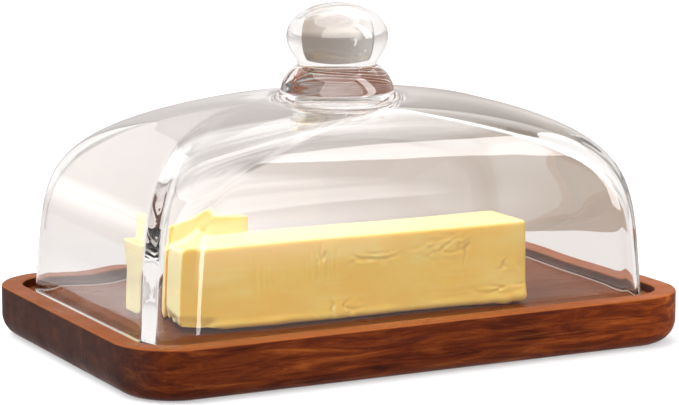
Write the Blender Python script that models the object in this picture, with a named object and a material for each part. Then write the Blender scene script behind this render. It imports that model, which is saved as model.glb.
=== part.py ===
"""Butter dish: an oiled wooden tray, a thick glass cover with a solid ball knob, and butter on the tray.

Metres, +Z up. The origin is the centre of the tray's underside. X runs along the tray and Y across it.
The cover stands loose in the shallow recess of the tray, the knob is on the Z axis, and the butter lies
on the -Y side of the recess.
"""

import math

import bmesh
import bpy
from mathutils import Vector
from mathutils.geometry import interpolate_bezier

# ---- Driving dimensions ------------------------------------------------------------------------------------

GAP = 0.0003  # space left between pieces that rest on each other

# Wooden tray
TRAY_LENGTH = 0.200
TRAY_WIDTH = 0.132
TRAY_HEIGHT = 0.0174
TRAY_CORNER = 0.020  # plan radius of the outer corners
UNDERSIDE_ROUND = 0.0077  # radius of the lower outer edge
TOP_EDGE_ROUND = 0.0008  # radius of the upper outer edge
RIM_WIDTH = 0.0071
RIM_INNER_ROUND = 0.0006  # radius where the rim turns down into the recess
RECESS_DEPTH = 0.0035
RECESS_FILLET = 0.0009  # cove where the recess wall meets its floor

# Glass cover
COVER_HALF_LENGTH = 0.0900
COVER_HALF_WIDTH = 0.0560
COVER_CORNER = 0.0140  # plan radius of the corners at the rim
COVER_HEIGHT = 0.0669  # from the rim to the top of the shell
COVER_TAPER = 0.052  # how far the walls lean in, as a share of the half sizes
SHOULDER_POWER = 5.5  # higher holds the walls upright for longer
CROWN_POWER = 1.72  # lower makes the crown slope down from its middle
CORNER_SPREAD = 6.5  # how late the corners open into the round crown
CROWN_FLAT_RADIUS = 0.0250  # the level disc in the middle of the crown, where the knob sits
WALL = 0.0043
CROWN_THICKNESS = 0.0055
INNER_CORNER = 0.0060  # sharper than outer radius minus wall: mould-blown glass thins towards its corners
RIM_ROUND = 0.0017  # radius of both edges of the glass rim

# Knob
KNOB_HEIGHT = 0.0302
KNOB_FOOT_RADIUS = 0.0200
KNOB_COLLAR_RADIUS = 0.0186
KNOB_COLLAR_HEIGHT = 0.0022
KNOB_WAIST_RADIUS = 0.0129
KNOB_WAIST_HEIGHT = 0.0100
KNOB_BALL_RADIUS = 0.0167
KNOB_BALL_HEIGHT = 0.0195  # height of the widest circle of the ball

# Handles of the curves down the knob's side, as (radius, height) offsets from each curve's two ends
UNDER_BALL_PULLS = ((0.0, -0.0050), (0.0002, 0.0022))
FLARE_PULLS = ((0.0022, -0.0010), (-0.0004, 0.0034))
FOOT_PULLS = ((0.0, -0.0010), (-0.0008, 0.0))

# Stick of butter
STICK_LENGTH = 0.1206
STICK_DEPTH = 0.0248
STICK_HEIGHT = 0.0271
STICK_CENTRE = (-0.0082, -0.0212)
STICK_TURN = -1.4  # degrees from the tray's long side
STICK_ROUND = 0.0016

# Cut end of an older block behind the stick: a low step with a standing slab on it
CHUNK_LEFT = -0.0700
CHUNK_RIGHT = -0.0330
CHUNK_FRONT = -0.0060
CHUNK_BACK = 0.0095
CHUNK_STEP_HEIGHT = 0.0250
SLAB_LEFT = -0.0666
SLAB_FRONT = -0.0010
SLAB_BACK = 0.0065
SLAB_LEFT_HEIGHT = 0.0338
SLAB_RIGHT_HEIGHT = 0.0312
CHUNK_ROUND = 0.0007

# Fineness
CORNER_STEPS = 10  # faces around each rounded corner in plan
EDGE_STEPS = 4  # faces across a small rounded edge
UNDERSIDE_STEPS = 6
CROWN_STEPS = 16  # rings from the rim of the cover to its crown
CROWN_CROWDING = 1.6  # above 1 puts more of the rings on the walls
KNOB_TURN_STEPS = 48
BALL_STEPS = 12
FLARE_STEPS = 8
FOOT_STEPS = 4
BEVEL_STEPS = 3
FULLEST_CORNER = 0.98  # share of a ring's half size; above it, points of neighbouring corners would meet
SMOOTH_ANGLE = 40  # degrees; steeper edges stay sharp
RIM_SMOOTH_ANGLE = 50

RECESS_FLOOR = TRAY_HEIGHT - RECESS_DEPTH
COVER_RIM_Z = RECESS_FLOOR + GAP
KNOB_BASE_Z = COVER_RIM_Z + COVER_HEIGHT + GAP
QUARTER = math.pi / 2


# ---- Helpers -----------------------------------------------------------------------------------------------

def make_material(name, colour, roughness, transmission=0.0, ior=1.5):
    """A Principled material with one plain colour."""
    material = bpy.data.materials.new(name)
    material.use_nodes = True
    shader = material.node_tree.nodes["Principled BSDF"]
    shader.inputs["Base Color"].default_value = (*colour, 1.0)
    shader.inputs["Metallic"].default_value = 0.0
    shader.inputs["Roughness"].default_value = roughness
    shader.inputs["Transmission Weight"].default_value = transmission
    shader.inputs["IOR"].default_value = ior
    return material


def add_object(name, mesh, material, smooth_angle):
    """Put a mesh in the scene under its piece name, smooth except over edges sharper than the angle."""
    mesh.materials.append(material)
    mesh.shade_smooth()
    mesh.set_sharp_from_angle(angle=math.radians(smooth_angle))
    piece = bpy.data.objects.new(name, mesh)
    bpy.context.scene.collection.objects.link(piece)
    return piece


def rounded_rectangle(half_x, half_y, radius, z):
    """One ring of points, counter-clockwise from above; every ring has the same number of points."""
    radius = min(radius, FULLEST_CORNER * half_x, FULLEST_CORNER * half_y)
    ring = []
    for quarter in range(4):
        sign_x = 1 if quarter in (0, 3) else -1
        sign_y = 1 if quarter in (0, 1) else -1
        centre = Vector((sign_x * (half_x - radius), sign_y * (half_y - radius), z))
        for step in range(CORNER_STEPS + 1):
            angle = QUARTER * (quarter + step / CORNER_STEPS)
            ring.append(centre + radius * Vector((math.cos(angle), math.sin(angle), 0)))
    return ring


def loft(name, rings):
    """A closed skin over a stack of rings, with a flat cap on the first and the last."""
    bm = bmesh.new()
    loops = [[bm.verts.new(point) for point in ring] for ring in rings]
    count = len(rings[0])
    for lower, upper in zip(loops, loops[1:]):
        for i in range(count):
            j = (i + 1) % count
            bm.faces.new((lower[i], lower[j], upper[j], upper[i]))
    bm.faces.new(reversed(loops[0]))
    bm.faces.new(loops[-1])
    bmesh.ops.recalc_face_normals(bm, faces=bm.faces)
    mesh = bpy.data.meshes.new(name)
    bm.to_mesh(mesh)
    bm.free()
    return mesh


def arc(radius, start, end, steps):
    """Offsets (across, up) along part of a circle, from one angle to another."""
    angles = [start + (end - start) * i / steps for i in range(steps + 1)]
    return [(radius * math.cos(a), radius * math.sin(a)) for a in angles]


# ---- Tray --------------------------------------------------------------------------------------------------

def tray_profile():
    """(inset, height) points from the underside, up the side, over the rim and down to the recess."""
    profile = []
    for across, up in arc(UNDERSIDE_ROUND, -QUARTER, 0, UNDERSIDE_STEPS):
        profile.append((UNDERSIDE_ROUND - across, UNDERSIDE_ROUND + up))
    for across, up in arc(TOP_EDGE_ROUND, 0, QUARTER, EDGE_STEPS):
        profile.append((TOP_EDGE_ROUND - across, TRAY_HEIGHT - TOP_EDGE_ROUND + up))
    for across, up in arc(RIM_INNER_ROUND, QUARTER, math.pi, EDGE_STEPS):
        profile.append((RIM_WIDTH - RIM_INNER_ROUND - across, TRAY_HEIGHT - RIM_INNER_ROUND + up))
    for across, up in arc(RECESS_FILLET, 0, -QUARTER, EDGE_STEPS):
        profile.append((RIM_WIDTH + RECESS_FILLET - across, RECESS_FLOOR + RECESS_FILLET + up))
    return profile


def make_tray(material):
    """A shallow board with a flat rim around one recess, cut from a single piece of wood."""
    rings = []
    for inset, height in tray_profile():
        half_x = TRAY_LENGTH / 2 - inset
        half_y = TRAY_WIDTH / 2 - inset
        rings.append(rounded_rectangle(half_x, half_y, TRAY_CORNER - inset, height))
    return add_object("tray", loft("tray", rings), material, SMOOTH_ANGLE)


# ---- Glass cover -------------------------------------------------------------------------------------------

def shell_ring(half_x, half_y, corner, flat, height, rise, share, z):
    """A ring of a domed shell: upright rounded-oblong walls that close into a round crown."""
    inward = 1 - COVER_TAPER * rise
    ring_x = flat + (half_x * inward - flat) * share
    ring_y = flat + (half_y * inward - flat) * share
    smallest = min(ring_x, ring_y)
    radius = corner + (smallest - corner) * rise ** CORNER_SPREAD
    return rounded_rectangle(ring_x, ring_y, radius, z + height * rise)


def shell_rings(half_x, half_y, corner, flat, height, z):
    """Rings from the wall above the rim to the crown, closer together where the shell curves most."""
    rings = []
    for step in range(1, CROWN_STEPS + 1):
        angle = QUARTER * (step / CROWN_STEPS) ** CROWN_CROWDING
        rise = math.sin(angle) ** (2 / SHOULDER_POWER)
        share = max(math.cos(angle), 0.0) ** (2 / CROWN_POWER)
        rings.append(shell_ring(half_x, half_y, corner, flat, height, rise, share, z))
    return rings


def make_dome(material):
    """The open-bottomed shell of the cover, with a rounded rim that stands on the floor of the recess."""
    inner_x = COVER_HALF_LENGTH - WALL
    inner_y = COVER_HALF_WIDTH - WALL
    inner_height = COVER_HEIGHT - CROWN_THICKNESS
    inner_flat = CROWN_FLAT_RADIUS - WALL
    inside = shell_rings(inner_x, inner_y, INNER_CORNER, inner_flat, inner_height, COVER_RIM_Z)
    outside = shell_rings(COVER_HALF_LENGTH, COVER_HALF_WIDTH, COVER_CORNER, CROWN_FLAT_RADIUS,
                          COVER_HEIGHT, COVER_RIM_Z)
    rim = []
    for across, up in arc(RIM_ROUND, math.pi, 1.5 * math.pi, EDGE_STEPS):
        spread = RIM_ROUND + across
        rim.append(rounded_rectangle(inner_x + spread, inner_y + spread, INNER_CORNER + spread,
                                     COVER_RIM_Z + RIM_ROUND + up))
    for across, up in arc(RIM_ROUND, -QUARTER, 0, EDGE_STEPS):
        inset = RIM_ROUND - across
        rim.append(rounded_rectangle(COVER_HALF_LENGTH - inset, COVER_HALF_WIDTH - inset,
                                     COVER_CORNER - inset, COVER_RIM_Z + RIM_ROUND + up))
    rings = list(reversed(inside)) + rim + outside
    return add_object("glass_dome", loft("glass_dome", rings), material, RIM_SMOOTH_ANGLE)


def curve(start, end, pulls, steps):
    """The points after the start of a smooth curve between two points, bent by the pull at each end."""
    handles = [point + Vector(pull) for point, pull in zip((start, end), pulls)]
    return [tuple(point) for point in interpolate_bezier(start, *handles, end, steps)[1:]]


def knob_profile():
    """(radius, height) points down the outer side of the knob, from the top of the ball to the foot."""
    widest = Vector((KNOB_BALL_RADIUS, KNOB_BALL_HEIGHT))
    waist = Vector((KNOB_WAIST_RADIUS, KNOB_WAIST_HEIGHT))
    collar = Vector((KNOB_COLLAR_RADIUS, KNOB_COLLAR_HEIGHT))
    foot = Vector((KNOB_FOOT_RADIUS, 0.0))
    cap_height = KNOB_HEIGHT - KNOB_BALL_HEIGHT
    points = [(0.0, KNOB_HEIGHT)]
    for step in range(1, BALL_STEPS + 1):
        angle = QUARTER * (1 - step / BALL_STEPS)
        points.append((KNOB_BALL_RADIUS * math.cos(angle), KNOB_BALL_HEIGHT + cap_height * math.sin(angle)))
    points += curve(widest, waist, UNDER_BALL_PULLS, FLARE_STEPS)
    points += curve(waist, collar, FLARE_PULLS, FLARE_STEPS)
    points += curve(collar, foot, FOOT_PULLS, FOOT_STEPS)
    points.append((0.0, 0.0))
    return points


def make_knob(material):
    """The solid ball knob, turned about the Z axis on its seat at the top of the shell."""
    mesh = bpy.data.meshes.new("glass_knob")
    points = knob_profile()
    edges = [(i, i + 1) for i in range(len(points) - 1)]
    mesh.from_pydata([(radius, 0, height) for radius, height in points], edges, [])
    mesh.materials.append(material)
    knob = bpy.data.objects.new("glass_knob", mesh)
    bpy.context.scene.collection.objects.link(knob)
    knob.location = (0, 0, KNOB_BASE_Z)
    turn = knob.modifiers.new("Turn", "SCREW")
    turn.axis = "Z"
    turn.angle = 2 * math.pi
    turn.steps = KNOB_TURN_STEPS
    turn.render_steps = KNOB_TURN_STEPS
    turn.use_merge_vertices = True
    turn.merge_threshold = 0.00001
    turn.use_smooth_shade = True
    return knob


# ---- Butter ------------------------------------------------------------------------------------------------

def round_edges(piece, width):
    """Soften the edges of a piece of butter."""
    bevel = piece.modifiers.new("Soft edges", "BEVEL")
    bevel.width = width
    bevel.segments = BEVEL_STEPS
    bevel.limit_method = "ANGLE"
    bevel.angle_limit = math.radians(SMOOTH_ANGLE)


def make_stick(material):
    """The fresh stick of butter, a long block turned slightly on the tray."""
    bm = bmesh.new()
    bmesh.ops.create_cube(bm, size=1.0)
    bmesh.ops.scale(bm, vec=(STICK_LENGTH, STICK_DEPTH, STICK_HEIGHT), verts=bm.verts)
    mesh = bpy.data.meshes.new("butter_stick")
    bm.to_mesh(mesh)
    bm.free()
    stick = add_object("butter_stick", mesh, material, SMOOTH_ANGLE)
    stick.location = (*STICK_CENTRE, RECESS_FLOOR + GAP + STICK_HEIGHT / 2)
    stick.rotation_euler = (0, 0, math.radians(STICK_TURN))
    round_edges(stick, STICK_ROUND)
    return stick


def sloping_block(name, x_values, y_values, low, left_high, right_high):
    """One box whose top may slope along X."""
    bm = bmesh.new()
    corners = []
    for x, high in zip(x_values, (left_high, right_high)):
        for y in y_values:
            corners.append([bm.verts.new((x, y, low)), bm.verts.new((x, y, high))])
    (a, e), (b, f), (c, g), (d, h) = corners
    for face in ((a, b, d, c), (e, g, h, f), (a, e, f, b), (c, d, h, g), (a, c, g, e), (b, f, h, d)):
        bm.faces.new(face)
    bmesh.ops.recalc_face_normals(bm, faces=bm.faces)
    mesh = bpy.data.meshes.new(name)
    bm.to_mesh(mesh)
    bm.free()
    return mesh


def make_slab_guide(corner):
    """The standing slab of the chunk, which is joined to its low step and isn't a piece of its own."""
    start = SLAB_LEFT - CHUNK_LEFT
    end = CHUNK_RIGHT - CHUNK_LEFT - CHUNK_ROUND
    front = SLAB_FRONT - CHUNK_FRONT
    back = SLAB_BACK - CHUNK_FRONT
    mesh = sloping_block("butter_slab_guide", (start, end), (front, back), CHUNK_STEP_HEIGHT / 2,
                         SLAB_LEFT_HEIGHT, SLAB_RIGHT_HEIGHT)
    slab = bpy.data.objects.new("butter_slab_guide", mesh)
    bpy.context.scene.collection.objects.link(slab)
    slab.location = corner
    slab.hide_render = True
    slab.display_type = "WIRE"
    return slab


def make_chunk(material):
    """A cut end of butter: a low step, and a slab with a sloping top that stands on part of it."""
    corner = (CHUNK_LEFT, CHUNK_FRONT, RECESS_FLOOR + GAP)
    step = sloping_block("butter_chunk", (0, CHUNK_RIGHT - CHUNK_LEFT), (0, CHUNK_BACK - CHUNK_FRONT), 0,
                         CHUNK_STEP_HEIGHT, CHUNK_STEP_HEIGHT)
    chunk = add_object("butter_chunk", step, material, SMOOTH_ANGLE)
    chunk.location = corner
    join = chunk.modifiers.new("Standing slab", "BOOLEAN")
    join.operation = "UNION"
    join.solver = "EXACT"
    join.object = make_slab_guide(corner)
    round_edges(chunk, CHUNK_ROUND)
    return chunk


# ---- Assembly ----------------------------------------------------------------------------------------------

def main():
    for leftover in list(bpy.data.objects):
        bpy.data.objects.remove(leftover, do_unlink=True)

    wood = make_material("oiled_wood", (0.200, 0.060, 0.026), 0.38)
    glass = make_material("clear_glass", (0.98, 0.98, 0.97), 0.02, transmission=1.0, ior=1.50)
    butter = make_material("butter", (0.88, 0.62, 0.19), 0.42)

    make_tray(wood)
    make_dome(glass)
    make_knob(glass)
    make_stick(butter)
    make_chunk(butter)


main()
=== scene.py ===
"""Looks of the butter dish: one clear glass cover with its knob, an oiled wooden tray, and soft butter.

Metres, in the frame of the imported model. The dish stands on z = 0, X runs along the tray and Y across it.
"""

import math

import bmesh
import bpy
from mathutils import Matrix, Vector, noise
from mathutils.geometry import interpolate_bezier


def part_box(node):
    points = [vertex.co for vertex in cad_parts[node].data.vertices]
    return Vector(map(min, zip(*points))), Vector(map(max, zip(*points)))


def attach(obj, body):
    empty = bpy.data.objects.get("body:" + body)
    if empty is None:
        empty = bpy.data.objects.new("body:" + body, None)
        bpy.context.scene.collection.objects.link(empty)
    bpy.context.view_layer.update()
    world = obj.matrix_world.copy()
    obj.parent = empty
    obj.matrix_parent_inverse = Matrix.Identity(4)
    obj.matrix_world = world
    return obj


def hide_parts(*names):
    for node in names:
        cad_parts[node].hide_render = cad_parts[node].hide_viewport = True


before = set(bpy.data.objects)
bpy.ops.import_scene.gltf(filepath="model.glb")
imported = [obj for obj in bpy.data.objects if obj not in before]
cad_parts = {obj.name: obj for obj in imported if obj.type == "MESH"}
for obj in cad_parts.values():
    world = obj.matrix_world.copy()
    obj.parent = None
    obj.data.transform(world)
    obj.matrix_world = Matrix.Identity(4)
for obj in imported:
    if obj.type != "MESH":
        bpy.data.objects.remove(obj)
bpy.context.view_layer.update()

QUARTER = math.pi / 2

# ---- Shapes: the model's own dimensions, and the finer detail added to them ----------------------------

RING_POINTS = 256  # points round each ring of the glass and of the tray
CORNER_EXTRA = 0.030  # counted as extra length in each corner, so that a ring's points are closer there

# Tray
TRAY_CORNER = 0.020
UNDERSIDE_ROUND = 0.0077
TOP_EDGE_ROUND = 0.0008
RIM_WIDTH = 0.0071
RIM_INNER_ROUND = 0.0006
RECESS_DEPTH = 0.0035
RECESS_FILLET = 0.0009
TRAY_SMALLEST_CORNER = 0.004
UNDERSIDE_STEPS = 14  # rings round the lower edge
EDGE_STEPS = 6  # rings round each small edge
SIDE_SPACING = 0.0022  # between the rings up the side
RIM_SPACING = 0.0014
FLOOR_SPACING = 0.0075
TRAY_WAVE = 0.00005  # how far the sanded surface strays from true
TRAY_WAVE_SIZES = (0.030, 0.012, 0.010)

# Glass cover
COVER_CORNER = 0.0140
COVER_TAPER = 0.052
SHOULDER_POWER = 5.5
CROWN_POWER = 1.72
CORNER_SPREAD = 6.5
CROWN_FLAT_RADIUS = 0.0250
WALL = 0.0043
CROWN_THICKNESS = 0.0055
INNER_CORNER = 0.0060
RIM_ROUND = 0.0017
SHELL_STEPS = 64  # rings from the rim to the crown
SHELL_CROWDING = 1.6  # draws the shell's rings towards its rim
RIM_STEPS = 8
RIM_CLEARANCE = 0.0002  # between the rim's last ring and the wall's first
CEILING_RINGS = 8
OUTER_WAVE = 0.00010  # blown glass is never quite even
INNER_WAVE = 0.00011
RIPPLE_FADE = 0.006  # the ripples grow from nothing at the rim to full over this height
RIPPLE_END = 0.0005  # the ripples stop this far under the crown's top, so the knob has none

# Knob, as shares of the radius of its foot and of its height
COLLAR_RADIUS = 0.930
COLLAR_HEIGHT = 0.073
WAIST_RADIUS = 0.645
WAIST_HEIGHT = 0.331
BALL_RADIUS = 0.835
BALL_HEIGHT = 0.646
# How far the curve's handles reach from each of its points, as (outwards, up)
CROWN_PULL = (-0.0042, 0.0)
COLLAR_PULL_DOWN = (0.0003, -0.0012)
COLLAR_PULL_UP = (-0.0004, 0.0034)
WAIST_PULL_DOWN = (0.0022, -0.0010)
WAIST_PULL_UP = (0.0002, 0.0022)
BALL_PULL = (0.0, -0.0050)
FOOT_STEPS = 10
NECK_STEPS = 14
CAP_STEPS = 26

# Butter
BUTTER_VOXEL = 0.0005
BUTTER_SHRINK = 0.0003  # pulls the skin in, so that its bumps stay inside the model's box
EDGE_SEGMENTS = 4
SOFTEN_ROUNDS = 3
STICK_TURN = -1.4  # degrees from the tray's long side
STICK_LENGTH = 0.1206
STICK_DEPTH = 0.0248
STICK_EDGE = 0.0016
RAGGED_LENGTH = 0.011  # the torn foot at the stick's left end
RAGGED_HEIGHT = 0.005
RAGGED_DEPTH = 0.0034
SMEAR_LENGTH = 0.020  # the smeared foot at its right end
SMEAR_HEIGHT = 0.007
SMEAR_DEPTH = 0.0009
SKIRT_HEIGHT = 0.0016  # the butter squeezed out along its foot
SKIRT_DEPTH = 0.00045
SKIRT_FADE = 0.02  # it grows from nothing at the left end to full over this length
STEP_HEIGHT = 0.0250  # the low step of the cut end
CHUNK_EDGE = 0.0009
SLAB_LEFT = 0.0034  # the standing slab, from the cut end's left side
SLAB_RIGHT = 0.0007  # from its right side
SLAB_FRONT = 0.0050  # from its front, as is the slab's back
SLAB_BACK = 0.0125
SLAB_FOOT = 0.004  # starts inside the step
SLAB_SLOPE = 0.0026  # how much lower the standing slab is at its right end
# Marks in the stick's front: place along and above, width, height, depth, and the sizes of their creases
# along and upwards
FRONT_MARKS = (
    (0.046, 0.0200, 0.0050, 0.0060, 0.00050, 0.0018, 0.0080),
    (0.063, 0.0190, 0.0080, 0.0018, 0.00060, 0.0060, 0.0022),
    (0.090, 0.0205, 0.0080, 0.0034, 0.00050, 0.0050, 0.0024),
    (0.0965, 0.0195, 0.0026, 0.0060, 0.00050, 0.0020, 0.0070),
    (0.113, 0.0125, 0.0050, 0.0018, 0.00045, 0.0050, 0.0020),
    (0.051, 0.0034, 0.0060, 0.0024, 0.00080, 0.0060, 0.0026),
    (0.110, 0.0048, 0.0090, 0.0012, 0.00060, 0.0120, 0.0016),
    (0.024, 0.0150, 0.0060, 0.0060, 0.00020, 0.0020, 0.0120),
)
MARK_END = 6  # squared distance at which a mark ends, in its own sizes
CREASE = 0.20  # a crease runs where the noise is nearer to zero than this
CREASE_SEED = 900  # gives each mark its own noise
CREASE_DEPTH = 1.5  # in the depth of its mark
CREASE_LIFT = 0.3  # how much the butter between the creases is raised, in the same measure


# ---- Mesh helpers --------------------------------------------------------------------------------------

def add_piece(name, mesh, body, nodes, material):
    """Put a finished mesh in the scene as a piece that stands for some nodes of the model."""
    mesh.materials.clear()
    mesh.materials.append(material)
    mesh.shade_smooth()
    piece = bpy.data.objects.new(name, mesh)
    bpy.context.scene.collection.objects.link(piece)
    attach(piece, body)
    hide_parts(*nodes)
    return piece


def quarter_point(half_x, half_y, corner, share):
    """A point on a quarter of a rounded rectangle: share 0 is at (half_x, 0) and share 1 at (0, half_y)."""
    side_x = half_x - corner
    side_y = half_y - corner
    bend = QUARTER * corner + CORNER_EXTRA
    along = share * (side_y + bend + side_x)
    if along < side_y:
        return half_x, along
    if along < side_y + bend:
        angle = QUARTER * (along - side_y) / bend
        return side_x + corner * math.cos(angle), side_y + corner * math.sin(angle)
    return max(side_x - (along - side_y - bend), 0.0), half_y


def ring(half_x, half_y, corner, z):
    """One counter-clockwise ring of points, closer together round its corners."""
    corner = max(min(corner, half_x, half_y), 0.0)
    points = []
    for i in range(RING_POINTS):
        turn = 4 * i / RING_POINTS
        quarter = int(turn)
        share = turn - quarter
        x, y = quarter_point(half_x, half_y, corner, share if quarter % 2 == 0 else 1 - share)
        sign_x = 1 if quarter in (0, 3) else -1
        sign_y = 1 if quarter in (0, 1) else -1
        points.append((sign_x * x, sign_y * y, z))
    return points


def loft(name, rings, first_pole, last_pole):
    """A closed skin over a stack of rings, closed at each end by a fan round a pole."""
    bm = bmesh.new()
    loops = [[bm.verts.new(point) for point in points] for points in rings]
    for lower, upper in zip(loops, loops[1:]):
        for i in range(RING_POINTS):
            j = (i + 1) % RING_POINTS
            bm.faces.new((lower[i], lower[j], upper[j], upper[i]))
    first = bm.verts.new(first_pole)
    last = bm.verts.new(last_pole)
    for i in range(RING_POINTS):
        j = (i + 1) % RING_POINTS
        bm.faces.new((loops[0][j], loops[0][i], first))
        bm.faces.new((loops[-1][i], loops[-1][j], last))
    bmesh.ops.recalc_face_normals(bm, faces=bm.faces)
    mesh = bpy.data.meshes.new(name)
    bm.to_mesh(mesh)
    bm.free()
    return mesh


def wave(point, sizes, seed):
    """Smooth noise between -1 and 1, with features of the given sizes along X, Y and Z."""
    return noise.noise(Vector((point.x / sizes[0] + seed, point.y / sizes[1], point.z / sizes[2])))


def displace(mesh, depth, lowest, highest):
    """Move each vertex along its normal by depth(point, normal), kept between two heights."""
    normals = [vertex.normal.copy() for vertex in mesh.vertices]
    moves = [depth(vertex.co, normal) for vertex, normal in zip(mesh.vertices, normals)]
    for vertex, normal, move in zip(mesh.vertices, normals, moves):
        vertex.co += normal * move
        vertex.co.z = min(max(vertex.co.z, lowest), highest)
    mesh.update()


def arc(radius, start, end, steps):
    """Offsets (across, up) along part of a circle, from one angle to another."""
    angles = [start + (end - start) * i / steps for i in range(steps + 1)]
    return [(radius * math.cos(a), radius * math.sin(a)) for a in angles]


# ---- Node helper ---------------------------------------------------------------------------------------

class Paint:
    """Builds one node material, which starts from a Principled shader."""

    def __init__(self, name):
        self.material = bpy.data.materials.new(name)
        self.material.use_nodes = True
        self.tree = self.material.node_tree
        self.shader = self.tree.nodes["Principled BSDF"]

    def node(self, kind, sockets=None, **settings):
        """Add a node; a socket's value may be a number, a vector, a colour or another node's output."""
        made = self.tree.nodes.new(kind)
        for key, value in settings.items():
            setattr(made, key, value)
        for key, value in (sockets or {}).items():
            self.set(made.inputs[key], value)
        return made

    def set(self, socket, value):
        if isinstance(value, bpy.types.NodeSocket):
            self.tree.links.new(value, socket)
        else:
            socket.default_value = value

    def place(self):
        """The point on the piece, in metres, which travels with it."""
        return self.node("ShaderNodeTexCoord").outputs["Object"]

    def facing(self):
        """The way the surface faces, in the piece's own axes, as X, Y and Z outputs."""
        normal = self.node("ShaderNodeTexCoord").outputs["Normal"]
        return self.split(normal)

    def split(self, vector):
        """The vector's X, Y and Z outputs."""
        return self.node("ShaderNodeSeparateXYZ", {"Vector": vector}).outputs

    def stretched(self, point, sizes):
        """The point in units of the given feature sizes."""
        scale = [1 / size for size in sizes]
        return self.node("ShaderNodeMapping", {"Vector": point, "Scale": scale}).outputs["Vector"]

    def noise(self, point, detail, roughness, distortion=0.0):
        sockets = {"Vector": point, "Scale": 1.0, "Detail": detail, "Roughness": roughness}
        sockets["Distortion"] = distortion
        return self.node("ShaderNodeTexNoise", sockets).outputs["Fac"]

    def ramp(self, value, *stops):
        """A colour ramp from (position, colour) stops."""
        made = self.node("ShaderNodeValToRGB", {"Fac": value})
        elements = made.color_ramp.elements
        while len(elements) < len(stops):
            elements.new(0.5)
        for element, (position, colour) in zip(elements, stops):
            element.position = position
            element.color = (*colour, 1.0)
        return made.outputs["Color"]

    def range(self, value, low, high, out_low, out_high):
        """Remap a value from one range to another, held at its ends."""
        sockets = {"Value": value, "From Min": low, "From Max": high, "To Min": out_low, "To Max": out_high}
        return self.node("ShaderNodeMapRange", sockets).outputs["Result"]

    def math(self, operation, first, second=0.0):
        made = self.node("ShaderNodeMath", operation=operation)
        self.set(made.inputs[0], first)
        self.set(made.inputs[1], second)
        return made.outputs[0]

    def mix(self, factor, first, second, blend="MIX"):
        made = self.node("ShaderNodeMix", data_type="RGBA", blend_type=blend)
        self.set(made.inputs["Factor"], factor)
        for socket, value in zip([s for s in made.inputs if s.type == "RGBA"], (first, second)):
            self.set(socket, value if isinstance(value, bpy.types.NodeSocket) else (*value, 1.0))
        return [s for s in made.outputs if s.type == "RGBA"][0]

    def bump(self, height, distance, strength):
        sockets = {"Height": height, "Distance": distance, "Strength": strength}
        return self.node("ShaderNodeBump", sockets).outputs["Normal"]


# ---- Materials -----------------------------------------------------------------------------------------

def wood_material():
    """Oiled reddish hardwood with its fibres along X: drifting figure, streaks, fine pores, and upward faces
    that are lighter, partly from wear and partly from painted light.

    It is lighter towards its right end. Painted shade darkens its left end, its flat tops and its recess
    floor, and, with the darker end grain, its left end face.
    """
    paint = Paint("oiled_wood_grain")
    point = paint.place()
    figure = paint.noise(paint.stretched(point, (0.026, 0.0060, 0.0036)), 8.0, 0.66, 0.8)
    colour = paint.ramp(figure, (0.32, (0.028, 0.0056, 0.0026)), (0.46, (0.065, 0.0118, 0.0036)),
                        (0.58, (0.106, 0.0220, 0.0052)), (0.70, (0.190, 0.0500, 0.0096)))
    streaks = paint.noise(paint.stretched(point, (0.022, 0.0016, 0.0012)), 5.0, 0.62, 0.5)
    colour = paint.mix(paint.range(streaks, 0.44, 0.30, 0.0, 0.75), colour, (0.036, 0.0085, 0.0065))
    colour = paint.mix(paint.range(streaks, 0.56, 0.74, 0.0, 0.30), colour, (0.260, 0.0740, 0.0170))
    pores = paint.noise(paint.stretched(point, (0.0032, 0.00030, 0.00026)), 2.0, 0.5)
    pore_mask = paint.range(pores, 0.62, 0.70, 0.0, 1.0)
    colour = paint.mix(paint.math("MULTIPLY", pore_mask, 0.65), colour, (0.022, 0.0070, 0.0055))
    position = paint.split(point)
    normal = paint.facing()
    along = position["X"]
    right_end = paint.range(along, 0.03, 0.10, 0.0, 0.85)
    colour = paint.mix(right_end, colour, (1.9, 1.85, 1.35), "MULTIPLY")
    # The left end face is darkened: partly darker end grain, partly painted shade on the face towards the key
    # light.
    end_grain_and_shade = paint.range(normal["X"], -0.55, -0.95, 0.0, 0.70)
    colour = paint.mix(end_grain_and_shade, colour, (0.024, 0.0155, 0.0145))
    # Upward faces turn a lighter orange: partly wear, partly painted light where the light falls on the top.
    wear_and_top_light = paint.range(normal["Z"], 0.25, 0.75, 0.0, 0.45)
    colour = paint.mix(wear_and_top_light, colour, (0.45, 0.145, 0.040))
    # Painted shade: the flat upward faces are multiplied darker where the light falls on them.
    flat = paint.range(normal["Z"], 0.80, 0.98, 0.0, 1.0)
    colour = paint.mix(flat, colour, (0.78, 0.68, 0.54), "MULTIPLY")
    # Painted shade: the recess floor under the cover is darker and greyer, standing for the shade the cover
    # would cast.
    rim_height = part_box("tray")[1].z
    recess_shade = paint.range(position["Z"], rim_height - 0.0010, rim_height - 0.0030, 0.0, 0.50)
    colour = paint.mix(paint.math("MULTIPLY", recess_shade, flat), colour, (0.085, 0.036, 0.022))
    # Painted shade: the tray's left end, nearest the key light, is multiplied darker.
    left_end_shade = paint.range(along, -0.05, -0.09, 0.0, 0.35)
    colour = paint.mix(left_end_shade, colour, (0.45, 0.45, 0.45), "MULTIPLY")
    paint.set(paint.shader.inputs["Base Color"], colour)
    paint.shader.inputs["Specular IOR Level"].default_value = 0.03
    smears = paint.noise(paint.stretched(point, (0.030, 0.012, 0.012)), 3.0, 0.5)
    sheen = paint.range(smears, 0.35, 0.65, 0.26, 0.42)
    roughness = paint.math("ADD", sheen, paint.math("MULTIPLY", pore_mask, 0.2))
    paint.set(paint.shader.inputs["Roughness"], roughness)
    grooves = paint.math("SUBTRACT", paint.math("MULTIPLY", streaks, 0.6), pore_mask)
    paint.set(paint.shader.inputs["Normal"], paint.bump(grooves, 0.00004, 0.8))
    return paint.material


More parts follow.
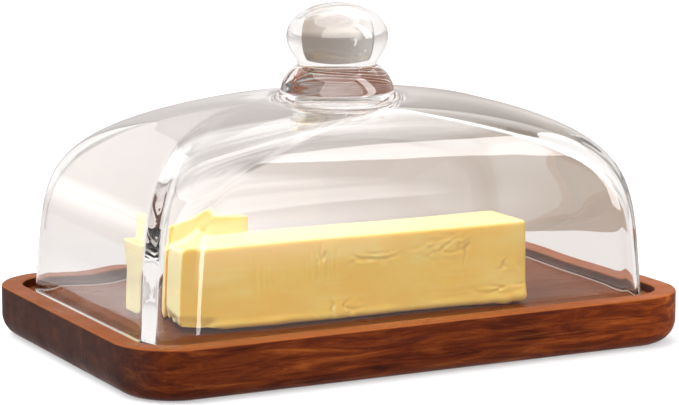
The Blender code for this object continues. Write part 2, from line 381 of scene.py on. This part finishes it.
def glass_material():
    """Clear blown glass: faint ripples in the surface and a little handling haze."""
    paint = Paint("clear_blown_glass")
    shader = paint.shader
    shader.inputs["Base Color"].default_value = (0.990, 0.985, 0.978, 1.0)
    shader.inputs["Transmission Weight"].default_value = 1.0
    shader.inputs["IOR"].default_value = 1.50
    point = paint.place()
    haze = paint.noise(paint.stretched(point, (0.020, 0.020, 0.014)), 5.0, 0.6)
    paint.set(shader.inputs["Roughness"], paint.range(haze, 0.50, 0.80, 0.0, 0.020))
    ripples = paint.noise(paint.stretched(point, (0.020, 0.020, 0.016)), 1.0, 0.4)
    paint.set(shader.inputs["Normal"], paint.bump(ripples, 0.00010, 0.4))
    return paint.material


def butter_material():
    """Soft butter, with painted light making its top and its left end paler; pale smears, knife streaks and
    tiny pits.

    Light passes a little way in.
    """
    paint = Paint("soft_butter")
    shader = paint.shader
    point = paint.place()
    clouds = paint.noise(paint.stretched(point, (0.020, 0.012, 0.009)), 4.0, 0.55)
    colour = paint.ramp(clouds, (0.35, (0.96, 0.60, 0.105)), (0.55, (0.98, 0.65, 0.138)),
                        (0.72, (0.98, 0.72, 0.21)))
    knife = paint.noise(paint.stretched(point, (0.018, 0.0060, 0.0022)), 3.0, 0.5)
    colour = paint.mix(paint.range(knife, 0.58, 0.80, 0.0, 0.35), colour, (0.97, 0.78, 0.30))
    normal = paint.facing()
    # Painted light: the top is paler, as it is where the light falls on it.
    colour = paint.mix(paint.range(normal["Z"], 0.3, 0.9, 0.0, 0.60), colour, (0.95, 0.83, 0.44))
    # Painted light: the left end, towards the key light, is paler.
    colour = paint.mix(paint.range(normal["X"], -0.3, -0.9, 0.0, 0.90), colour, (0.98, 0.89, 0.52))
    paint.set(shader.inputs["Base Color"], colour)
    gloss = paint.noise(paint.stretched(point, (0.016, 0.008, 0.006)), 3.0, 0.5)
    paint.set(shader.inputs["Roughness"], paint.range(gloss, 0.35, 0.65, 0.30, 0.52))
    pits = paint.noise(paint.stretched(point, (0.0016, 0.0016, 0.0012)), 3.0, 0.5)
    relief = paint.math("ADD", knife, paint.math("MULTIPLY", pits, 0.30))
    paint.set(shader.inputs["Normal"], paint.bump(relief, 0.00012, 0.6))
    shader.inputs["Subsurface Weight"].default_value = 0.35
    shader.inputs["Subsurface Radius"].default_value = (1.0, 0.55, 0.18)
    shader.inputs["Subsurface Scale"].default_value = 0.004
    return paint.material


# ---- Tray ----------------------------------------------------------------------------------------------

def make_tray(material):
    """The tray's own shape as a fine skin, which sanding has left slightly uneven."""
    low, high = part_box("tray")
    floor = high.z - RECESS_DEPTH
    profile = [(UNDERSIDE_ROUND * (1 + 4 * i / 3), low.z) for i in (3, 2, 1)]
    profile += [(UNDERSIDE_ROUND - x, low.z + UNDERSIDE_ROUND + y)
                for x, y in arc(UNDERSIDE_ROUND, -QUARTER, 0, UNDERSIDE_STEPS)]
    profile += [(0.0, low.z + UNDERSIDE_ROUND + SIDE_SPACING * i) for i in (1, 2, 3)]
    profile += [(TOP_EDGE_ROUND - x, high.z - TOP_EDGE_ROUND + y)
                for x, y in arc(TOP_EDGE_ROUND, 0, QUARTER, EDGE_STEPS)]
    profile += [(TOP_EDGE_ROUND + RIM_SPACING * i, high.z) for i in (1, 2, 3)]
    profile += [(RIM_WIDTH - RIM_INNER_ROUND - x, high.z - RIM_INNER_ROUND + y)
                for x, y in arc(RIM_INNER_ROUND, QUARTER, math.pi, EDGE_STEPS)]
    profile += [(RIM_WIDTH + RECESS_FILLET - x, floor + RECESS_FILLET + y)
                for x, y in arc(RECESS_FILLET, 0, -QUARTER, EDGE_STEPS)]
    profile += [(RIM_WIDTH + RECESS_FILLET + FLOOR_SPACING * i, floor) for i in range(1, 8)]
    rings = [ring(high.x - inset, high.y - inset, max(TRAY_CORNER - inset, TRAY_SMALLEST_CORNER), z)
             for inset, z in profile]
    mesh = loft("wooden_tray", rings, (0, 0, low.z), (0, 0, floor))

    def uneven(point, normal):
        return -TRAY_WAVE * (1 + wave(point, TRAY_WAVE_SIZES, 3.1)) / 2

    displace(mesh, uneven, low.z, high.z)
    return add_piece("wooden_tray", mesh, "base", ["tray"], material)


# ---- Glass ---------------------------------------------------------------------------------------------

def shell(half_x, half_y, corner, flat, height, z):
    """Rings from above the rim to the crown: upright walls that close into a round crown."""
    rings = []
    for step in range(1, SHELL_STEPS + 1):
        angle = QUARTER * (step / SHELL_STEPS) ** SHELL_CROWDING
        rise = math.sin(angle) ** (2 / SHOULDER_POWER)
        share = max(math.cos(angle), 0.0) ** (2 / CROWN_POWER)
        inward = 1 - COVER_TAPER * rise
        ring_x = flat + (half_x * inward - flat) * share
        ring_y = flat + (half_y * inward - flat) * share
        radius = corner + (min(ring_x, ring_y) - corner) * rise ** CORNER_SPREAD
        rings.append(ring(ring_x, ring_y, radius, z + height * rise))
    return rings


def knob_profile(crown_z):
    """(radius, height) points from the crown of the shell up over the knob, which is one glass with it."""
    low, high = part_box("glass_knob")
    foot = high.x
    height = high.z - low.z
    crown = Vector((CROWN_FLAT_RADIUS, crown_z))
    collar = Vector((foot * COLLAR_RADIUS, low.z + height * COLLAR_HEIGHT))
    waist = Vector((foot * WAIST_RADIUS, low.z + height * WAIST_HEIGHT))
    widest = Vector((foot * BALL_RADIUS, low.z + height * BALL_HEIGHT))
    curves = (
        (crown, crown + Vector(CROWN_PULL), collar + Vector(COLLAR_PULL_DOWN), collar, FOOT_STEPS),
        (collar, collar + Vector(COLLAR_PULL_UP), waist + Vector(WAIST_PULL_DOWN), waist, NECK_STEPS),
        (waist, waist + Vector(WAIST_PULL_UP), widest + Vector(BALL_PULL), widest, NECK_STEPS),
    )
    points = []
    for start, handle_a, handle_b, end, steps in curves:
        points += [tuple(point) for point in interpolate_bezier(start, handle_a, handle_b, end, steps)[1:]]
    cap = high.z - widest.y
    angles = [QUARTER * i / CAP_STEPS for i in range(1, CAP_STEPS)]
    points += [(widest.x * math.cos(a), widest.y + cap * math.sin(a)) for a in angles]
    return points


def make_glass(material):
    """The cover and its knob as one unbroken piece of glass, open below, with slightly uneven faces."""
    low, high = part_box("glass_dome")
    inner_x = high.x - WALL
    inner_y = high.y - WALL
    inner_flat = CROWN_FLAT_RADIUS - WALL
    inner_height = high.z - low.z - CROWN_THICKNESS
    inside = shell(inner_x, inner_y, INNER_CORNER, inner_flat, inner_height, low.z)
    ceiling = []
    for i in range(CEILING_RINGS - 1, 0, -1):
        radius = inner_flat * i / CEILING_RINGS
        ceiling.append(ring(radius, radius, inner_flat, low.z + inner_height))
    rim = []
    for across, up in arc(RIM_ROUND, math.pi, 1.5 * math.pi, RIM_STEPS):
        spread = RIM_ROUND + across
        rim.append(ring(inner_x + spread, inner_y + spread, INNER_CORNER + spread, low.z + RIM_ROUND + up))
    for across, up in arc(RIM_ROUND, -QUARTER, 0, RIM_STEPS):
        inset = RIM_ROUND - across
        rim.append(ring(high.x - inset, high.y - inset, COVER_CORNER - inset, low.z + RIM_ROUND + up))
    wall_start = low.z + RIM_ROUND + RIM_CLEARANCE
    inside = [points for points in inside if points[0][2] > wall_start]
    outside = shell(high.x, high.y, COVER_CORNER, CROWN_FLAT_RADIUS, high.z - low.z, low.z)
    outside = [points for points in outside if points[0][2] > wall_start]
    knob = [ring(radius, radius, radius, z) for radius, z in knob_profile(high.z)]
    knob_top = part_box("glass_knob")[1].z
    rings = list(reversed(ceiling)) + list(reversed(inside)) + rim + outside + knob
    mesh = loft("glass_cover", rings, (0, 0, low.z + inner_height), (0, 0, knob_top))
    middle = Vector((0, 0, low.z))

    def ripple(point, normal):
        if point.z > high.z - RIPPLE_END:
            return 0.0
        fade = min((point.z - low.z) / RIPPLE_FADE, 1.0)
        if normal.dot(point - middle) < 0:
            return fade * INNER_WAVE * wave(point, (0.034, 0.034, 0.026), 7.7)
        return fade * OUTER_WAVE * (wave(point, (0.040, 0.040, 0.013), 1.3)
                                    + 0.25 * wave(point, (0.020, 0.020, 0.011), 4.9))

    displace(mesh, ripple, low.z, knob_top)
    cover = add_piece("glass_cover", mesh, "cover", ["glass_dome", "glass_knob"], material)
    cover.visible_shadow = False
    return cover


# ---- Butter --------------------------------------------------------------------------------------------

def boxes_mesh(name, boxes, width, matrix):
    """One skin over overlapping boxes with rounded edges, as an even fine mesh that is ready to be shaped."""
    bm = bmesh.new()
    for low, high in boxes:
        made = bmesh.ops.create_cube(bm, size=1.0)["verts"]
        bmesh.ops.scale(bm, vec=high - low, verts=made)
        bmesh.ops.translate(bm, vec=(low + high) / 2, verts=made)
    edges = list(bm.edges)
    bmesh.ops.bevel(bm, geom=edges, offset=width, segments=EDGE_SEGMENTS, profile=0.5, affect="EDGES")
    bm.transform(matrix)
    rough = bpy.data.meshes.new(name)
    bm.to_mesh(rough)
    bm.free()
    holder = bpy.data.objects.new(name + "_form", rough)
    bpy.context.scene.collection.objects.link(holder)
    remesh = holder.modifiers.new("Even mesh", "REMESH")
    remesh.mode = "VOXEL"
    remesh.voxel_size = BUTTER_VOXEL
    soften = holder.modifiers.new("Soften", "SMOOTH")
    soften.iterations = SOFTEN_ROUNDS
    soften.factor = 0.5
    evaluated = holder.evaluated_get(bpy.context.evaluated_depsgraph_get())
    shaped = bpy.data.meshes.new_from_object(evaluated)
    bpy.data.objects.remove(holder, do_unlink=True)
    bpy.data.meshes.remove(rough)
    shaped.name = name
    return shaped


def make_stick(material):
    """The fresh stick: flat sides with knife marks, a foot torn on its left and smeared on its right."""
    low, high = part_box("butter_stick")
    centre = (low + high) / 2
    half = Vector((STICK_LENGTH / 2, STICK_DEPTH / 2, (high.z - low.z) / 2))
    matrix = Matrix.Translation(centre) @ Matrix.Rotation(math.radians(STICK_TURN), 4, "Z")
    mesh = boxes_mesh("stick_of_butter", [(-half, half)], STICK_EDGE, matrix)
    back = matrix.inverted()

    def press(point, normal):
        here = back @ point
        along = here.x + half.x
        above = here.z + half.z
        move = 0.00022 * wave(point, (0.030, 0.016, 0.014), 5.2)
        move += 0.00006 * wave(point, (0.006, 0.005, 0.004), 9.6)
        if here.y < 0:
            for at_x, at_z, width, tall, depth, crease_x, crease_z in FRONT_MARKS:
                reach = ((along - at_x) / width) ** 2 + ((above - at_z) / tall) ** 2
                if reach < MARK_END:
                    wrinkle = abs(wave(here, (crease_x, 1.0, crease_z), at_x * CREASE_SEED))
                    crease = max(0.0, 1 - wrinkle / CREASE)
                    move -= depth * math.exp(-reach) * (CREASE_DEPTH * crease - CREASE_LIFT)
        torn = max(0.0, 1 - along / RAGGED_LENGTH) * max(0.0, 1 - above / RAGGED_HEIGHT)
        move -= RAGGED_DEPTH * torn * (0.45 + max(0.0, wave(point, (0.0035, 0.0035, 0.002), 2.2) + 0.4))
        from_right = 2 * half.x - along
        smeared = max(0.0, 1 - from_right / SMEAR_LENGTH) * max(0.0, 1 - above / SMEAR_HEIGHT)
        move += SMEAR_DEPTH * smeared * (0.5 + wave(point, (0.005, 0.005, 0.003), 6.4))
        skirt = max(0.0, 1 - abs(above - SKIRT_HEIGHT) / SKIRT_HEIGHT) * min(along / SKIRT_FADE, 1.0)
        move += SKIRT_DEPTH * skirt * (0.6 + wave(point, (0.009, 0.005, 0.010), 12.5))
        return move - BUTTER_SHRINK

    displace(mesh, press, low.z, high.z)
    return add_piece("stick_of_butter", mesh, "base", ["butter_stick"], material)


def make_chunk(material):
    """The cut end of an older block: a low step and a standing slab, rough where it was cut."""
    low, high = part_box("butter_chunk")
    step_top = low.z + STEP_HEIGHT
    step = (low, Vector((high.x, high.y, step_top)))
    slab_low = Vector((low.x + SLAB_LEFT, low.y + SLAB_FRONT, low.z + SLAB_FOOT))
    slab_high = Vector((high.x - SLAB_RIGHT, low.y + SLAB_BACK, high.z))
    mesh = boxes_mesh("end_of_butter", [step, (slab_low, slab_high)], CHUNK_EDGE, Matrix.Identity(4))

    for vertex in mesh.vertices:
        share = max(0.0, (vertex.co.z - step_top) / (high.z - step_top))
        vertex.co.z -= SLAB_SLOPE * share * (vertex.co.x - low.x) / (high.x - low.x)
    mesh.update()

    def cut(point, normal):
        return (0.00018 * wave(point, (0.012, 0.010, 0.010), 11.3)
                + 0.00012 * wave(point, (0.005, 0.005, 0.004), 17.9) - BUTTER_SHRINK)

    displace(mesh, cut, low.z, high.z)
    return add_piece("end_of_butter", mesh, "base", ["butter_chunk"], material)


# ---- Studio --------------------------------------------------------------------------------------------

CAMERA_AZIMUTH = -27.2  # degrees from straight in front, negative towards -X
CAMERA_ELEVATION = 9.93
CAMERA_DISTANCE = 0.95664
CAMERA_SHIFT = (0.00075, 0.04454)  # across and up from the origin, in the plane of the picture
SENSOR = 36.0
FOCAL_SHARE = 4.2184  # focal length as a share of the sensor's width
BACKDROP_DISTANCE = 0.20  # behind the dish, along the view
LIGHT_TARGET = 0.04  # height at which the lights aim
WINDOW_DISTANCE = 1.6
WINDOW_COLUMNS = 12  # flat strips that make up a curved panel
SHARPEST_EDGE = 0.001  # of a panel, as a share of it
FLOOR_REACH = 6.0
FLOOR_COLOUR = (0.44, 0.45, 0.465, 1.0)
FLOOR_GLOW = 0.42
TABLE_LIFT = 0.0002  # above the floor
WALL_LEFT = 0.125
WALL_RIGHT = 0.115
WALL_HEIGHT = 0.20
WALL_DARK_FROM = 0.075  # heights between which the wall turns darker
WALL_DARK_TO = 0.095
MOST_BOUNCES = 32
GLASS_BOUNCES = 30


def heading(azimuth, elevation):
    """Unit vector towards an azimuth (0 is -Y, 90 is +X) and an elevation, in degrees."""
    turn = math.radians(azimuth)
    rise = math.radians(elevation)
    return Vector((math.sin(turn) * math.cos(rise), -math.cos(turn) * math.cos(rise), math.sin(rise)))


def facing(direction):
    """Rotation whose -Z looks against the direction, with +Y up."""
    return direction.to_track_quat("Z", "Y").to_euler()


def view_right():
    """Unit vector to the right in the picture."""
    turn = math.radians(CAMERA_AZIMUTH)
    return Vector((math.cos(turn), math.sin(turn), 0))


def make_camera():
    back = heading(CAMERA_AZIMUTH, CAMERA_ELEVATION)
    right = view_right()
    up = back.cross(right)
    data = bpy.data.cameras.new("camera")
    data.sensor_width = SENSOR
    data.lens = SENSOR * FOCAL_SHARE
    data.clip_start = 0.01
    camera = bpy.data.objects.new("camera", data)
    camera.location = back * CAMERA_DISTANCE + right * CAMERA_SHIFT[0] + up * CAMERA_SHIFT[1]
    camera.rotation_euler = facing(back)
    bpy.context.scene.collection.objects.link(camera)
    bpy.context.scene.camera = camera


def add_light(name, azimuth, elevation, distance, size, strength, colour=(1, 1, 1)):
    """A soft rectangular light aimed at the dish, which lights it but doesn't show in the glass."""
    data = bpy.data.lights.new(name, "AREA")
    data.shape = "RECTANGLE"
    data.size, data.size_y = size
    data.energy = strength * size[0] * size[1]
    data.color = colour
    light = bpy.data.objects.new(name, data)
    direction = heading(azimuth, elevation)
    light.location = direction * distance + Vector((0, 0, LIGHT_TARGET))
    light.rotation_euler = facing(direction)
    light.visible_camera = False
    light.visible_transmission = False
    light.visible_glossy = False
    data.cycles.use_multiple_importance_sampling = False
    bpy.context.scene.collection.objects.link(light)


def plane(name, corners, material):
    """One flat card of the stage."""
    mesh = bpy.data.meshes.new(name)
    mesh.from_pydata([tuple(corner) for corner in corners], [], [(0, 1, 2, 3)])
    mesh.materials.append(material)
    made = bpy.data.objects.new(name, mesh)
    bpy.context.scene.collection.objects.link(made)
    return made


def glow_material(name, colour):
    """A surface that only glows."""
    glow = Paint(name)
    glow.shader.inputs["Base Color"].default_value = (0, 0, 0, 1)
    glow.shader.inputs["Specular IOR Level"].default_value = 0.0
    glow.shader.inputs["Emission Strength"].default_value = 1.0
    glow.set(glow.shader.inputs["Emission Color"], (*colour, 1.0))
    return glow


def show_only_through_glass(card):
    """Hide a card from everything except what is seen through the glass."""
    card.visible_camera = False
    card.visible_diffuse = False
    card.visible_glossy = False
    card.visible_shadow = False


def make_stage():
    """A white floor, and a pale table and a grey-brown wall that only show through the glass."""
    white = Paint("white_floor")
    white.shader.inputs["Base Color"].default_value = FLOOR_COLOUR
    white.shader.inputs["Roughness"].default_value = 0.9
    white.shader.inputs["Specular IOR Level"].default_value = 0.1
    white.shader.inputs["Emission Color"].default_value = (1.0, 1.0, 1.0, 1.0)
    white.shader.inputs["Emission Strength"].default_value = FLOOR_GLOW
    reach = FLOOR_REACH
    corners = [(-reach, -reach, 0), (reach, -reach, 0), (reach, reach, 0), (-reach, reach, 0)]
    floor = plane("floor", corners, white.material)
    floor.visible_glossy = False
    floor.visible_transmission = False

    table = glow_material("table_seen_through", (0.97, 0.945, 0.935))
    lift = Vector((0, 0, TABLE_LIFT))
    show_only_through_glass(plane("table", [Vector(corner) + lift for corner in corners], table.material))

    wall = glow_material("wall_seen_through", (1, 1, 1))
    right = view_right()
    behind = -heading(CAMERA_AZIMUTH, 0) * BACKDROP_DISTANCE
    across = wall.node("ShaderNodeVectorMath", {0: wall.place(), 1: tuple(right)}, operation="DOT_PRODUCT")
    share = wall.range(across.outputs["Value"], -WALL_LEFT, WALL_LEFT, 0.0, 1.0)
    colour = wall.ramp(share, (0.0, (0.55, 0.51, 0.50)), (0.06, (0.98, 0.93, 0.91)),
                       (0.14, (0.98, 0.92, 0.90)), (0.5, (0.70, 0.62, 0.57)), (0.86, (0.53, 0.44, 0.37)))
    height = wall.split(wall.place())["Z"]
    dark = wall.range(height, WALL_DARK_FROM, WALL_DARK_TO, 0.0, 1.0)
    colour = wall.mix(dark, colour, (0.50, 0.49, 0.48), "MULTIPLY")
    wall.set(wall.shader.inputs["Emission Color"], colour)
    left_edge = behind - right * WALL_LEFT
    right_edge = behind + right * WALL_RIGHT
    rise = Vector((0, 0, WALL_HEIGHT))
    corners = [left_edge, right_edge, right_edge + rise, left_edge + rise]
    show_only_through_glass(plane("wall", corners, wall.material))


def make_world():
    """Bright overhead and taupe at the horizon: clear glass is drawn by the dark parts it bends into view."""
    world = bpy.data.worlds.new("studio")
    world.use_nodes = True
    bpy.context.scene.world = world
    nodes = world.node_tree.nodes
    links = world.node_tree.links
    split = nodes.new("ShaderNodeSeparateXYZ")
    links.new(nodes.new("ShaderNodeTexCoord").outputs["Generated"], split.inputs["Vector"])
    ramp = nodes.new("ShaderNodeValToRGB")
    links.new(split.outputs["Z"], ramp.inputs["Fac"])
    stops = ((0.0, (0.62, 0.57, 0.56)), (0.14, (0.93, 0.91, 0.89)), (0.42, (1.05, 1.03, 1.01)))
    ramp.color_ramp.elements.new(0.5)
    for element, (position, colour) in zip(ramp.color_ramp.elements, stops):
        element.position = position
        element.color = (*colour, 1.0)
    links.new(ramp.outputs["Color"], nodes["Background"].inputs["Color"])
    nodes["Background"].inputs["Strength"].default_value = 1.0


def add_window(name, azimuths, elevations, strength, pieces, softness=0.02, clouds=0.0):
    """A bright panel between two azimuths and two elevations, seen only as a reflection in some pieces.

    It is see-through, so that it only adds light. Softness is how far its edges fade in, as a share of it.
    Clouds is the share of the light that long grey drifts take out of it.
    """
    glow = Paint(name)
    glow.tree.nodes.remove(glow.shader)
    point = glow.node("ShaderNodeTexCoord").outputs["UV"]
    position = glow.split(point)
    fade = strength
    for axis in ("X", "Y"):
        from_middle = glow.math("ABSOLUTE", glow.math("SUBTRACT", position[axis], 0.5))
        from_edge = glow.math("SUBTRACT", 0.5, from_middle)
        inside = glow.range(from_edge, 0.0, max(softness, SHARPEST_EDGE), 0.0, 1.0)
        fade = glow.math("MULTIPLY", inside, fade)
    drift = glow.noise(glow.stretched(point, (0.45, 0.16, 1.0)), 3.0, 0.5, 0.6)
    dimming = glow.range(drift, 0.50, 0.60, 1.0, 1.0 - clouds)
    light = glow.node("ShaderNodeEmission", {"Strength": glow.math("MULTIPLY", fade, dimming)})
    clear = glow.node("ShaderNodeBsdfTransparent")
    both = glow.node("ShaderNodeAddShader", {0: light.outputs["Emission"], 1: clear.outputs["BSDF"]})
    glow.set(glow.tree.nodes["Material Output"].inputs["Surface"], both.outputs["Shader"])
    columns = WINDOW_COLUMNS
    points = []
    for elevation in elevations:
        for i in range(columns + 1):
            azimuth = azimuths[0] + (azimuths[1] - azimuths[0]) * i / columns
            points.append(heading(azimuth, elevation) * WINDOW_DISTANCE)
    faces = [(i, i + 1, i + columns + 2, i + columns + 1) for i in range(columns)]
    mesh = bpy.data.meshes.new(name)
    mesh.from_pydata([tuple(point) for point in points], [], faces)
    uv = mesh.uv_layers.new(name="panel")
    for loop in mesh.loops:
        row, column = divmod(loop.vertex_index, columns + 1)
        uv.data[loop.index].uv = (column / columns, row)
    mesh.materials.append(glow.material)
    window = bpy.data.objects.new(name, mesh)
    bpy.context.scene.collection.objects.link(window)
    window.visible_camera = False
    window.visible_diffuse = False
    window.visible_transmission = False
    window.visible_shadow = False
    group = bpy.data.collections.new(name + "_receivers")
    for piece in pieces:
        group.objects.link(piece)
    window.light_linking.receiver_collection = group


def make_lights(glass, butter_pieces):
    """Lights that light everything, and windows that only show as reflections in the pieces named."""
    add_light("key", -85, 45, 1.3, (1.2, 1.2), 16.5, (1.0, 0.985, 0.96))
    add_light("back_light", 150, 65, 1.3, (1.0, 0.8), 14.0)
    add_light("front_fill", 8, 28, 1.5, (1.6, 0.9), 9.8, (1.0, 0.97, 0.93))
    add_window("front_window", (-65, 30), (12, 60), 4.8, [glass], 0.03, 0.45)
    add_window("corner_window", (0, 32), (-5, 16), 10.0, [glass], 0.5)
    add_window("left_window", (-178, -126), (-1, 12), 1.6, [glass], 0.35, 0.3)
    add_window("left_low_window", (-180, -128), (-22, -6), 0.8, [glass], 0.15)
    add_window("front_glint", (12, 18), (-22, 2), 9.0, [glass])
    add_window("roof_window", (-180, 180), (58, 88), 3.6, [glass], 0.0, 0.6)
    add_window("crown_window", (95, 215), (32, 72), 2.2, [glass], 0.12, 0.5)
    add_window("right_window", (38, 60), (2, 60), 9.0, [glass])
    add_window("back_window", (100, 220), (3, 45), 4.0, butter_pieces)


def main():
    make_camera()
    make_stage()
    make_world()
    butter = butter_material()
    make_tray(wood_material())
    glass = make_glass(glass_material())
    butter_pieces = [make_stick(butter), make_chunk(butter)]
    make_lights(glass, butter_pieces)
    scene = bpy.context.scene
    scene.view_settings.view_transform = "Standard"
    scene.cycles.use_denoising = True
    scene.cycles.caustics_refractive = False
    scene.cycles.caustics_reflective = False
    scene.cycles.max_bounces = MOST_BOUNCES
    scene.cycles.transmission_bounces = GLASS_BOUNCES
    scene.cycles.glossy_bounces = GLASS_BOUNCES


main()
